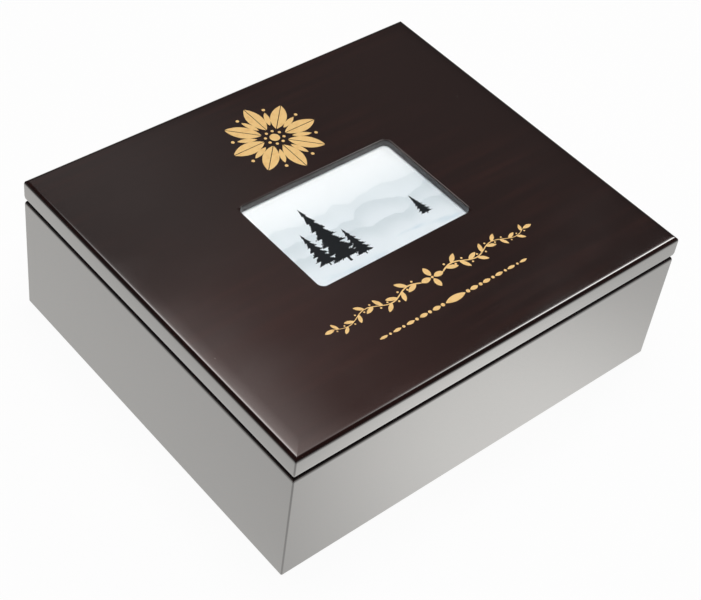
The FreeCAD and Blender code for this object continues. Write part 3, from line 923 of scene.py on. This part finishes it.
def bead_row(gilding):
    """A row of lozenges and beads that get smaller to both ends."""
    mesh = bmesh.new()
    half_eye = 8.0 * MM
    leaf(mesh, reach=2 * half_eye, width=5.0 * MM, fit=moved(-half_eye, 0))
    lozenges = 5
    step = (gilding.beads_reach - half_eye) / lozenges
    for hand in (1, -1):
        for index in range(lozenges):
            x = half_eye + index * step
            size = 1 - 0.09 * index
            bead(mesh, radius=1.35 * MM * size, fit=moved(hand * (x + 0.22 * step), 0))
            lozenge = mirrored(hand) @ moved(x + 0.40 * step, 0)
            leaf(mesh, reach=0.60 * step, width=3.1 * MM * size, fit=lozenge)
    return mesh


class KEEPSAKE_OT_gilding(bpy.types.Operator):
    """Lay the gold ornaments on the lid"""

    bl_idname = "keepsake.gilding"
    bl_label = "Gilding"

    def execute(self, context):
        gilding = context.scene.keepsake_box.gilding
        ornaments = {
            "gold_rosette": (rosette(gilding), gilding.rosette_y),
            "gold_spray": (spray(gilding), gilding.spray_y),
            "gold_bead_row": (bead_row(gilding), gilding.beads_y),
        }
        for name, (mesh, y) in ornaments.items():
            bmesh.ops.translate(mesh, vec=(0, y, PANEL_HIGH.z - gilding.thickness), verts=mesh.verts)
            grown = bmesh.ops.extrude_face_region(mesh, geom=mesh.faces[:])["geom"]
            bmesh.ops.translate(mesh, vec=(0, 0, gilding.thickness),
                                verts=parts_of(grown, bmesh.types.BMVert))
            bmesh.ops.recalc_face_normals(mesh, faces=mesh.faces)
            add_piece(name, mesh, material("gold_leaf", gold_finish, gilding), "lid", None)
        return {"FINISHED"}


class KEEPSAKE_OT_picture(bpy.types.Operator):
    """Finish the print, its glass and its backing"""

    bl_idname = "keepsake.picture"
    bl_label = "Picture"

    def execute(self, context):
        picture = context.scene.keepsake_box.picture
        dress("picture_print", material("landscape_print", print_finish, picture))
        dress("picture_glass", material("clear_glass", glass_finish))
        add_piece("picture_back_board", plank("picture_backing", picture.board_round),
                  material("fibreboard", board_finish, picture), "lid", "plain_board", "picture_backing")
        return {"FINISHED"}


class KEEPSAKE_OT_linings(bpy.types.Operator):
    """Cover the boards inside the base and the lid with velvet"""

    bl_idname = "keepsake.linings"
    bl_label = "Linings"

    def execute(self, context):
        lining = context.scene.keepsake_box.lining
        velvet = material("black_velvet", velvet_finish, lining)
        for side in (*SIDES, "floor"):
            add_piece(side + "_velvet", plank(side + "_lining", lining.wrap), velvet, "base", "velvet",
                      side + "_lining")
        low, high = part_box("lid_lining")
        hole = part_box("picture_backing")[1] + Vector((lining.picture_gap, lining.picture_gap, 0))
        wrap = [(inset, low.z + drop) for inset, drop in quarter(lining.wrap)]
        hole_wrap = [(-inset, z) for inset, z in reversed(wrap)]
        loops = outlines(high.x, high.y, 0, [(0, high.z), *wrap])
        loops += outlines(hole.x, hole.y, 0, [*hole_wrap, (0, high.z)])
        add_piece("lid_velvet", loft(loops, closed=True), velvet, "lid", "velvet", "lid_lining")
        return {"FINISHED"}


class KEEPSAKE_OT_underside(bpy.types.Operator):
    """Lay the felt under the bottom panel"""

    bl_idname = "keepsake.underside"
    bl_label = "Underside"

    def execute(self, context):
        box = context.scene.keepsake_box
        lining = box.lining
        dress("bottom_panel", material("fibreboard", board_finish, box.picture))
        low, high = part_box("underside_felt")
        profile = [(inset, low.z + drop) for inset, drop in reversed(quarter(lining.felt_edge))]
        loops = outlines(high.x, high.y, lining.felt_corner, [*profile, (0, high.z)])
        felt = add_piece("base_felt", loft(loops, closed=False),
                         material("pressed_felt", felt_finish, lining), "base", "felt", "underside_felt")
        return {"FINISHED"}


class KEEPSAKE_OT_bumpers(bpy.types.Operator):
    """Set the two soft dots on the front rim"""

    bl_idname = "keepsake.bumpers"
    bl_label = "Bumpers"

    def execute(self, context):
        lining = context.scene.keepsake_box.lining
        low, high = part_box("rim_bumpers")
        radius = lining.dot_radius
        tall = high.z - low.z
        dome = [(0, 0), (radius, 0)] + domed(radius, tall, share=0.7)
        places = [Matrix.Translation((x, (low.y + high.y) / 2, low.z))
                  for x in (low.x + radius, high.x - radius)]
        add_piece("rim_dots", repeated(spun(dome), places), material("soft_rubber", rubber_finish, lining),
                  "base", "bumper", "rim_bumpers")
        return {"FINISHED"}


def add_brass(node, body, brass, mesh=None):
    """Finish a brass piece: the mesh given, or else a copy of its node with rounded edges."""
    mesh = mesh or eased_copy(node, brass.softness)
    add_piece(node + "_brass", mesh, material("polished_brass", brass_finish, brass), body, "brass", node)


class KEEPSAKE_OT_hinges(bpy.types.Operator):
    """Finish the leaves and the pins of the two hinges"""

    bl_idname = "keepsake.hinges"
    bl_label = "Hinges"

    def execute(self, context):
        brass = context.scene.keepsake_box.brass
        for hand in HANDS:
            for part, body in (("base_leaf", "base"), ("lid_leaf", "lid"), ("pin", "base")):
                add_brass(f"{hand}_hinge_{part}", body, brass)
        return {"FINISHED"}


class KEEPSAKE_OT_stay(bpy.types.Operator):
    """Finish the slotted lid stay"""

    bl_idname = "keepsake.stay"
    bl_label = "Lid Stay"

    def execute(self, context):
        brass = context.scene.keepsake_box.brass
        for part, body in (("arm", "stay"), ("stud", "base"), ("bracket", "lid"), ("rivet", "lid")):
            add_brass("stay_" + part, body, brass)
        return {"FINISHED"}


class KEEPSAKE_OT_turn_buttons(bpy.types.Operator):
    """Finish the four turn buttons that hold the picture in"""

    bl_idname = "keepsake.turn_buttons"
    bl_label = "Turn Buttons"

    def execute(self, context):
        brass = context.scene.keepsake_box.brass
        for row in ("front", "back"):
            for hand in HANDS:
                node = f"turn_button_{row}_{hand}"
                add_brass(node, node, brass)
        return {"FINISHED"}


def slotted_screw(brass, reach, dome):
    """A screw that points down, with its seat at Z = 0: round headed, or countersunk if it has no dome."""
    head = brass.screw_head
    shank = brass.screw_shank
    point = 2 * shank
    profile = [(0, -reach), (shank, point - reach)]
    if dome:
        profile += [(shank, 0), (head, 0)] + domed(head, dome, share=0.85)
        slot_depth = 0.6 * dome
    else:
        profile += [(shank, shank - head), (head, 0), (0, 0)]
        slot_depth = 0.5 * (head - shank)
    slot = block((-head - SPARE, -brass.screw_slot / 2, dome - slot_depth),
                 (head + SPARE, brass.screw_slot / 2, dome + SPARE))
    return carved(spun(profile), [slot])


def driven(screw, points, upside_down):
    """Copies of a screw at some points, each turned to an angle of its own."""
    turn_step = math.radians(47)
    over = Matrix.Rotation(math.pi, 4, "X") if upside_down else Matrix.Identity(4)
    places = [Matrix.Translation(point) @ turned(turn_step * index) @ over
              for index, point in enumerate(points)]
    return repeated(screw, places)


class KEEPSAKE_OT_screws(bpy.types.Operator):
    """Drive the slotted screws of the hinges, the stay's bracket and the turn buttons"""

    bl_idname = "keepsake.screws"
    bl_label = "Screws"

    def execute(self, context):
        brass = context.scene.keepsake_box.brass
        head = brass.screw_head
        dome = brass.screw_dome
        leaf_low, leaf_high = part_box("right_hinge_base_leaf")
        middle = (leaf_low.x + leaf_high.x) / 2
        for node, body, under in (("hinge_base_screws", "base", False), ("hinge_lid_screws", "lid", True)):
            low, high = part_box(node)
            y = (low.y + high.y) / 2
            seat = low.z if under else high.z
            step = high.x - head - middle
            points = [(sign * middle + offset, y, seat) for sign in (-1, 1) for offset in (-step, step)]
            screw = slotted_screw(brass, high.z - low.z, 0)
            add_brass(node, body, brass, driven(screw, points, under))
        for node in ("turn_button_screws", "stay_bracket_screws"):
            low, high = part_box(node)
            columns = (low.x + head, high.x - head)
            if node == "stay_bracket_screws":
                columns = ((low.x + high.x) / 2,)
            points = [(x, y, low.z + dome) for x in columns for y in (low.y + head, high.y - head)]
            screw = slotted_screw(brass, high.z - low.z - dome, dome)
            add_brass(node, "lid", brass, driven(screw, points, True))
        return {"FINISHED"}


def floor_finish(finish, pool):
    """A pale floor that the camera sees as white, with the box's shadow, and a painted pool of light in
    front that shows in its reflections.
    """
    warm_white = (1.0, 0.985, 0.955)
    shadow_share = 0.05
    point = finish.point()
    away = finish.node("VectorMath", {"operation": "DISTANCE"}, {0: point, 1: pool}, "Value")
    # Painted pool of light: in reflections the floor glows brightest near the pool's middle and fades with
    # distance
    painted_pool = 1.0 - finish.rise(away, 0.02, 0.21)
    near = 1.0 - finish.rise(away, 0.45, 1.0)
    painted_pool_glow = finish.blend(0.10 + 0.52 * near + 0.36 * painted_pool, BLACK, warm_white)
    tint = finish.blend(finish.noise(point, 40.0, 4.0), (0.80, 0.80, 0.80), (0.83, 0.83, 0.83))
    paper = finish.node("BsdfDiffuse", {}, {"Color": tint})
    direct = finish.light_path("Is Camera Ray").either(finish.light_path("Is Transmission Ray"))
    white = finish.node("Emission", {}, {"Color": finish.blend(direct, painted_pool_glow, WHITE)})
    share = ((1.0 - shadow_share) * direct).either(finish.light_path("Is Glossy Ray"))
    return finish.close(finish.node("MixShader", {}, {0: share, 1: paper, 2: white}))


def card_finish(finish, strength, tint):
    """A soft light card, bright in its middle and fading to its edges, that hides nothing behind it."""
    point = finish.point()
    full_share = 0.25
    fade = 1.0
    for name in ("X", "Y"):
        fade = fade * (1.0 - finish.rise(abs(finish.axis(point, name)), full_share, 1.0))
    glow = finish.node("Emission", {}, {"Color": finish.blend(fade, BLACK, tint), "Strength": strength})
    clear = finish.node("BsdfTransparent", {}, {})
    return finish.close(finish.node("AddShader", {}, {0: clear, 1: glow}))


class KEEPSAKE_OT_stage(bpy.types.Operator):
    """Lay the floor, hang the lamps and set the camera"""

    bl_idname = "keepsake.stage"
    bl_label = "Stage"

    def execute(self, context):
        scene = context.scene
        stage = scene.keepsake_box.stage
        scene.view_settings.view_transform = "Standard"

        world = Finish(scene.world or bpy.data.worlds.new("room"))
        scene.world = world.owner
        sky = world.node("Background", {}, {"Color": solid_colour(stage.room), "Strength": 1.0})
        world.close(sky, "OutputWorld")

        reach = stage.floor_radius
        cove = 0.2 * reach
        sweep = [(0, 0)] + [(reach - inset, drop) for inset, drop in reversed(quarter(cove))]
        floor = linked("floor", as_mesh("floor", spun(sweep + [(reach, stage.sweep_height)])))
        floor.data.materials.append(material("pale_floor", floor_finish, stage.pool_place))
        floor.data.shade_smooth()

        white = (1.0, 0.99, 0.97)
        warm_white = (1.0, 0.88, 0.85)
        warm = (1.0, 0.70, 0.63)
        red_warm = (1.0, 0.55, 0.50)
        cards = (
            ("front_card", (1.05, 0.15, 1.25), (0.60, 0.31), 5.0, white),
            ("left_card", (0.14, 0.60, 1.25), (0.315, 0.52), 2.2, white),
            ("glow_card", (0.18, 0.35, 1.24), (0.46, 0.63), 1.3, warm_white),
            ("haze_card", (0.42, 0.52, 1.23), (0.56, 0.52), 0.125, red_warm),
            ("back_card", (0.45, 1.20, 1.26), (0.55, 0.65), 0.07, white),
            ("ceiling_card", (0.90, 0.90, 1.27), (0.90, 0.90), 0.045, warm),
        )
        for name, middle, half_size, strength, tint in cards:
            grid = bmesh.new()
            bmesh.ops.create_grid(grid, x_segments=1, y_segments=1, size=1)
            card = linked(name, as_mesh(name, grid))
            card.matrix_world = Matrix.Translation(middle) @ Matrix.Diagonal((*half_size, 1, 1))
            card.data.materials.append(material(name, card_finish, strength, tint))
            card.visible_camera = False

        lamp = bpy.data.lights.new("overhead_lamp", "AREA")
        lamp.size = stage.lamp_size
        lamp.energy = stage.lamp_power
        hung = linked("overhead_lamp", lamp)
        hung.location = stage.lamp_place
        hung.visible_glossy = False

        camera = linked("camera", bpy.data.cameras.new("camera"))
        camera.data.lens = stage.lens
        camera.location = stage.camera_place
        aim = Vector(stage.camera_target) - Vector(stage.camera_place)
        camera.rotation_mode = "QUATERNION"
        camera.rotation_quaternion = (aim.to_track_quat("-Z", "Y")
                                      @ Quaternion((0, 0, 1), stage.camera_roll))
        scene.camera = camera
        return {"FINISHED"}


class KEEPSAKE_PT_panel(bpy.types.Panel):
    """The box's settings and the operators that make its pieces"""

    bl_idname = "KEEPSAKE_PT_panel"
    bl_label = "Keepsake Box"
    bl_space_type = "VIEW_3D"
    bl_region_type = "UI"
    bl_category = "Keepsake Box"

    def draw(self, context):
        box = context.scene.keepsake_box
        for operator in OPERATORS:
            self.layout.operator(operator.bl_idname)
        for group in (box.lacquer, box.gilding, box.picture, box.lining, box.brass, box.stage):
            column = self.layout.column()
            for name in group.__annotations__:
                column.prop(group, name)


SETTINGS = (LacquerSettings, GildingSettings, PictureSettings, LiningSettings, BrassSettings, StageSettings,
            KeepsakeBoxSettings)
OPERATORS = (KEEPSAKE_OT_base_boards, KEEPSAKE_OT_lid_boards, KEEPSAKE_OT_gilding, KEEPSAKE_OT_picture,
             KEEPSAKE_OT_linings, KEEPSAKE_OT_underside, KEEPSAKE_OT_bumpers, KEEPSAKE_OT_hinges,
             KEEPSAKE_OT_stay, KEEPSAKE_OT_turn_buttons, KEEPSAKE_OT_screws, KEEPSAKE_OT_stage)
CLASSES = (*SETTINGS, *OPERATORS, KEEPSAKE_PT_panel)


def register():
    """Add the classes and the scene's settings."""
    for each in CLASSES:
        bpy.utils.register_class(each)
    bpy.types.Scene.keepsake_box = PointerProperty(type=KeepsakeBoxSettings)


def unregister():
    """Take the settings and the classes away again."""
    del bpy.types.Scene.keepsake_box
    for each in reversed(CLASSES):
        bpy.utils.unregister_class(each)


def main():
    """Make every piece in order, then the stage."""
    register()
    bpy.ops.keepsake.base_boards()
    bpy.ops.keepsake.lid_boards()
    bpy.ops.keepsake.gilding()
    bpy.ops.keepsake.picture()
    bpy.ops.keepsake.linings()
    bpy.ops.keepsake.underside()
    bpy.ops.keepsake.bumpers()
    bpy.ops.keepsake.hinges()
    bpy.ops.keepsake.stay()
    bpy.ops.keepsake.turn_buttons()
    bpy.ops.keepsake.screws()
    bpy.ops.keepsake.stage()


if __name__ == "__main__":
    main()
